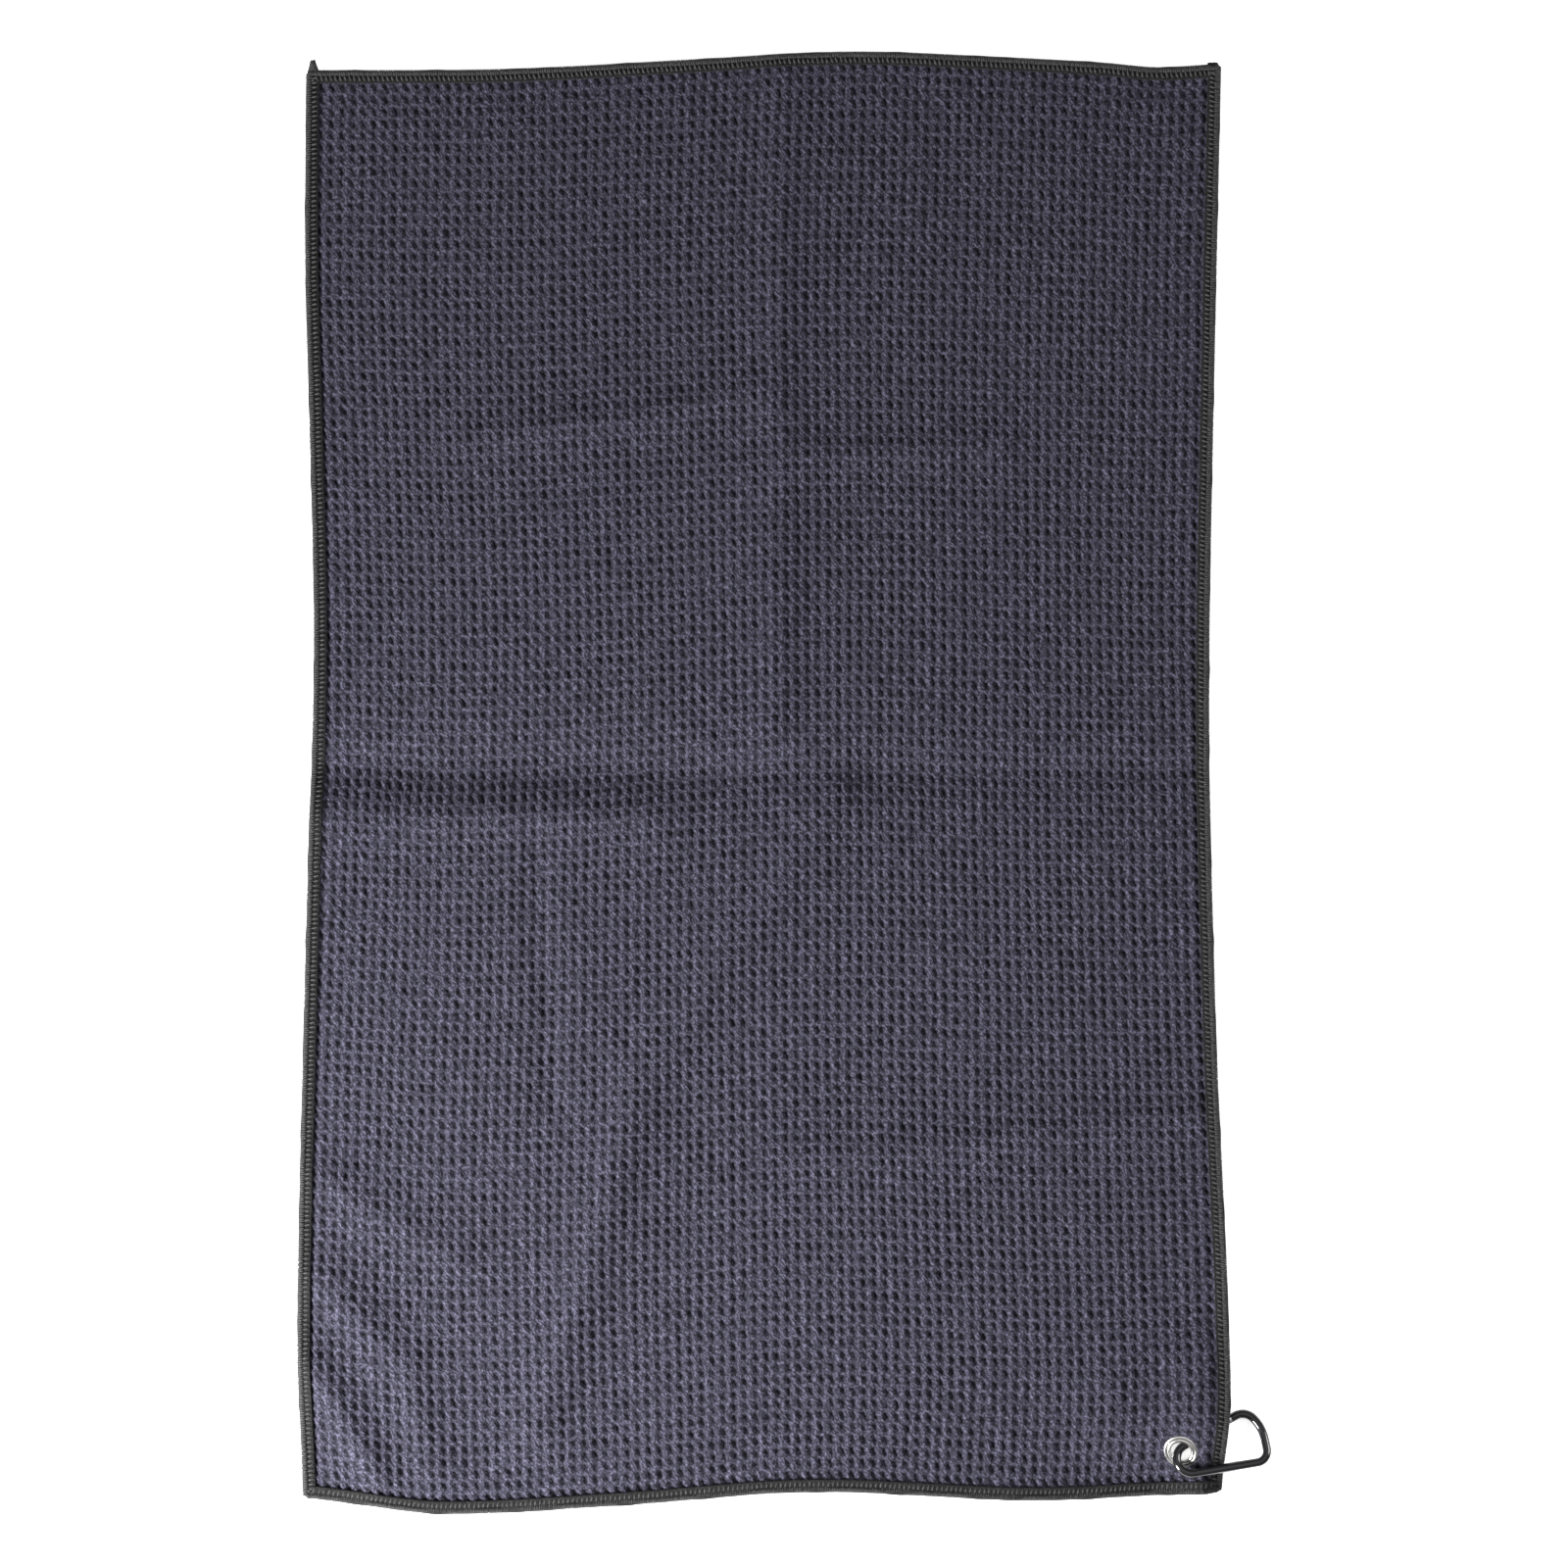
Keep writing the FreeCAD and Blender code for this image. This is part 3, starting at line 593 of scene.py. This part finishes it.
def corner_ear():
    """Whipped thread end that stands past the top edge at the left corner, a blunt cone."""
    foot = hem_ends("left")[1] - EAR_ROOT
    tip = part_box("hem_thread_tail")[1].y - EAR_END
    s = np.linspace(0, 1, 20 * EAR_TURNS)
    wide = EAR_FOOT - (EAR_FOOT - EAR_TIP) * s ** 0.7 - EAR_THREAD
    high = np.minimum(wide, HEM_THICK / 2 - EAR_THREAD)
    turn = 2 * math.pi * EAR_TURNS * s
    x = follow("left", foot, 1) + EAR_FOOT - EAR_LEAN * s + wide * np.cos(turn)
    y = foot + (tip - foot) * s
    z = HEM_THICK / 2 + high * np.sin(turn)
    return tube(np.column_stack([x, y, z + height(x, y)]), EAR_THREAD)


# ---------------------------------------------------------------- materials
def new_material(name):
    """Material, its nodes, its links and its shader."""
    m = bpy.data.materials.new(name)
    m.use_nodes = True
    nodes, links = m.node_tree.nodes, m.node_tree.links
    return m, nodes, links, nodes["Principled BSDF"]


def noise(nodes, links, scale, vector):
    """Noise of a given scale, 0 to 1."""
    n = nodes.new("ShaderNodeTexNoise")
    n.inputs["Scale"].default_value = scale
    n.inputs["Detail"].default_value = 2.0
    n.inputs["Roughness"].default_value = 0.6
    links.new(vector, n.inputs["Vector"])
    return n.outputs["Fac"]


def ramp(nodes, links, source, stops):
    """Colour of a value, from (place, colour) stops."""
    r = nodes.new("ShaderNodeValToRGB")
    while len(r.color_ramp.elements) < len(stops):
        r.color_ramp.elements.new(0.5)
    for element, (place, colour) in zip(r.color_ramp.elements, stops):
        element.position = place
        element.color = (*colour, 1)
    links.new(source, r.inputs["Fac"])
    return r.outputs["Color"]


def bump(nodes, links, shader, source, strength, distance):
    """Fine relief on a shader from a value."""
    b = nodes.new("ShaderNodeBump")
    b.inputs["Strength"].default_value = strength
    b.inputs["Distance"].default_value = distance
    links.new(source, b.inputs["Height"])
    links.new(b.outputs["Normal"], shader.inputs["Normal"])


def fabric_material(name, dark, mid, light, grain, sheen, pit=None):
    """Fabric in three tones with a slanting grain, with painted shade towards the colour pit in a
    pit.
    """
    m, nodes, links, shader = new_material(name)
    twist = nodes.new("ShaderNodeMapping")
    twist.vector_type = "TEXTURE"
    twist.inputs["Rotation"].default_value = (0, 0, math.radians(GRAIN_TURN))
    twist.inputs["Scale"].default_value = GRAIN_SHAPE
    links.new(nodes.new("ShaderNodeTexCoord").outputs["Object"], twist.inputs["Vector"])
    fine = noise(nodes, links, grain, twist.outputs["Vector"])
    colour = ramp(nodes, links, fine, [(0.36, dark), (0.51, mid), (0.65, light)])
    # painted shade: the pit attribute darkens the pits towards the colour pit
    if pit is not None:
        depth = nodes.new("ShaderNodeAttribute")
        depth.attribute_name = "pit"
        shade = nodes.new("ShaderNodeMix")
        shade.data_type = "RGBA"
        links.new(depth.outputs["Fac"], shade.inputs["Factor"])
        links.new(colour, shade.inputs["A"])
        shade.inputs["B"].default_value = (*pit, 1)
        colour = shade.outputs["Result"]
    links.new(colour, shader.inputs["Base Color"])
    shader.inputs["Roughness"].default_value = 0.93
    shader.inputs["Sheen Weight"].default_value = sheen
    shader.inputs["Sheen Roughness"].default_value = 0.5
    shader.inputs["Sheen Tint"].default_value = (0.75, 0.75, 0.85, 1)
    shader.inputs["Specular IOR Level"].default_value = 0.2
    bump(nodes, links, shader, fine, 0.7, 0.0007)
    return m


def metal_material(name, colour, rough, metallic, coat, grain, strength):
    """Smooth metal or enamel with slightly uneven colour, gloss and surface."""
    m, nodes, links, shader = new_material(name)
    place = nodes.new("ShaderNodeTexCoord").outputs["Object"]
    fine = noise(nodes, links, grain, place)
    low = tuple(c * 0.93 for c in colour)
    links.new(ramp(nodes, links, fine, [(0.35, low), (0.65, colour)]), shader.inputs["Base Color"])
    worn = nodes.new("ShaderNodeMapRange")
    worn.inputs["To Min"].default_value = rough * 0.8
    worn.inputs["To Max"].default_value = rough * 1.3
    links.new(fine, worn.inputs["Value"])
    links.new(worn.outputs["Result"], shader.inputs["Roughness"])
    shader.inputs["Metallic"].default_value = metallic
    shader.inputs["Coat Weight"].default_value = coat
    shader.inputs["Coat Roughness"].default_value = 0.06
    bump(nodes, links, shader, fine, strength, 0.0001)
    return m


# pit: colour of the painted shade at the bottom of the waffle pits
CLOTH = fabric_material(
    "waffle_microfibre", dark=(0.005, 0.005, 0.009), mid=(0.018, 0.017, 0.028),
    light=(0.078, 0.073, 0.110), grain=1250.0, sheen=0.05, pit=(0.002, 0.002, 0.004))
HEM = fabric_material(
    "overlock_thread", dark=(0.002, 0.002, 0.002), mid=(0.006, 0.006, 0.006),
    light=(0.015, 0.015, 0.015), grain=1600.0, sheen=0.03)
LOOP = fabric_material(
    "looper_thread", dark=(0.014, 0.014, 0.014), mid=(0.030, 0.030, 0.030),
    light=(0.065, 0.065, 0.063), grain=2200.0, sheen=0.08)
NICKEL = metal_material("bright_nickel", colour=(0.70, 0.69, 0.67), rough=0.20, metallic=1.0,
                        coat=0.0, grain=500.0, strength=0.15)
BLACK = metal_material("gloss_black", colour=(0.004, 0.004, 0.005), rough=0.13, metallic=0.0,
                       coat=0.3, grain=400.0, strength=0.08)
GATE = metal_material("polished_aluminium", colour=(0.74, 0.75, 0.78), rough=0.20, metallic=1.0,
                      coat=0.0, grain=700.0, strength=0.15)
STEEL = metal_material("pin_steel", colour=(0.40, 0.41, 0.43), rough=0.30, metallic=1.0,
                       coat=0.0, grain=900.0, strength=0.20)
FINISH = {"grommet_eyelet": NICKEL, "grommet_washer": NICKEL, "clip_body": BLACK,
          "clip_gate": GATE, "gate_rivet": STEEL, "gate_latch_pin": STEEL,
          "gate_plunger": STEEL, "gate_spring": STEEL}


def paint(obj, material):
    """Gives a mesh one material."""
    obj.data.materials.clear()
    obj.data.materials.append(material)


def dress(obj, material):
    """Gives a new piece its material."""
    paint(obj, material)
    return obj


def make_floor():
    """Square pale floor that glows a little, like a light table."""
    corners = [(-1, -1, 0), (1, -1, 0), (1, 1, 0), (-1, 1, 0)]
    obj = make_mesh("floor", np.array(corners, float) * FLOOR_HALF, np.array([[0, 1, 2, 3]]), False)
    paper, _, _, shader = new_material("floor_paper")
    shader.inputs["Base Color"].default_value = (0.92, 0.92, 0.92, 1)
    shader.inputs["Roughness"].default_value = 0.9
    shader.inputs["Emission Color"].default_value = (1, 1, 1, 1)
    shader.inputs["Emission Strength"].default_value = 0.7
    paint(obj, paper)
    return obj


# ---------------------------------------------------------------- build
cloth = dress(make_cloth(), CLOTH)
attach(cloth, "towel")
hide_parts("towel_cloth")
on_cloth = []
for side in ("left", "right", "top", "bottom"):
    body = dress(make_hem(side), HEM)
    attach(body, "towel")
    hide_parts("hem_" + side)
    threads = join([bars(side, **row) for row in THREADS])
    loops = dress(make_mesh("hem_" + side + "_loops", *threads), LOOP)
    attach(loops, "towel")
    on_cloth += [body, loops]
tail = dress(make_mesh("thread_tail", *corner_ear()), LOOP)
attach(tail, "towel")
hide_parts("hem_thread_tail")
on_cloth.append(tail)

for node, material in FINISH.items():
    paint(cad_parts[node], material)
on_cloth += [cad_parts[node] for node in ("grommet_eyelet", "grommet_washer")]

floor_mesh = make_floor()


# ---------------------------------------------------------------- light and camera
def area_light(name, place, aim, size, power):
    """Round white light at a place, turned to the point it aims at."""
    data = bpy.data.lights.new(name, "AREA")
    data.shape = "DISK"
    data.size = size
    data.energy = power
    obj = bpy.data.objects.new(name, data)
    obj.location = place
    obj.rotation_euler = (Vector(aim) - Vector(place)).to_track_quat("-Z", "Y").to_euler()
    bpy.context.scene.collection.objects.link(obj)


area_light("key", place=(-0.74, -0.66, 0.46), aim=(-0.12, -0.12, 0), size=0.35, power=58)
area_light("right", place=(1.05, 0.15, 0.60), aim=(0.1, 0.0, 0), size=0.5, power=9)
area_light("overhead", place=(0.0, 0.1, 1.9), aim=(0.0, 0.0, 0), size=2.4, power=8)
world = bpy.data.worlds.new("studio")
world.use_nodes = True
background = world.node_tree.nodes["Background"]
background.inputs["Color"].default_value = (1, 1, 1, 1)
background.inputs["Strength"].default_value = 0.22
bpy.context.scene.world = world

camera = bpy.data.cameras.new("camera")
camera.lens = LENS
camera.sensor_width = SENSOR
eye = bpy.data.objects.new("camera", camera)
eye.location = (0, VIEW_SHIFT, FIELD * LENS / SENSOR)
bpy.context.scene.collection.objects.link(eye)
bpy.context.scene.camera = eye
bpy.context.scene.view_settings.view_transform = "Standard"
